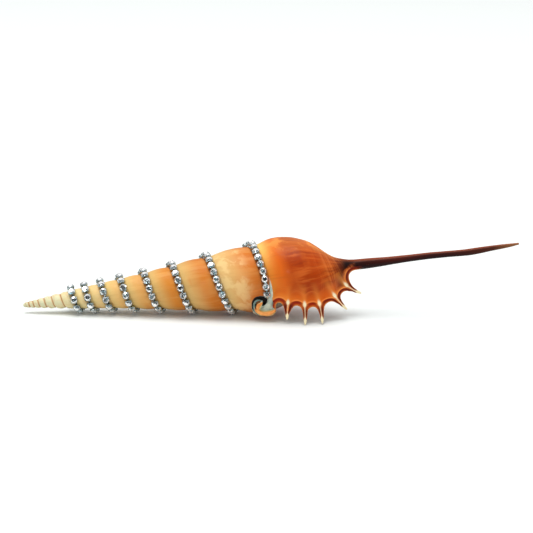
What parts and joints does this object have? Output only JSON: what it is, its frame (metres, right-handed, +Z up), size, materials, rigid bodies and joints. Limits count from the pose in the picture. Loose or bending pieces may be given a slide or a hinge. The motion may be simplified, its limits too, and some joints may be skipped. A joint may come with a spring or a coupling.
{
  "type": "tibia shell with rhinestone chain",
  "caption": "Long spindle-shaped sea shell with a needle-like canal and finger-like lip spines, wound along its suture with a glued chain of set rhinestones.",
  "frame": {"origin": "bottom centre of the bounding box, on the table the shell lies on", "axes": "+Z up, +X towards the tip of the long canal, -Y the side with the lip and its spines"},
  "size_m": [0.2132, 0.0326, 0.0341],
  "materials": {
    "shell": "natural shell with a soft gloss, cream at the apex, orange to red-brown on the body, dark canal",
    "chain": "polished silver-coloured cups holding clear faceted stones"
  },
  "bodies": {
    "root": {"shell": "shell", "rhinestone_chain": "chain"}
  },
  "joints": []
}
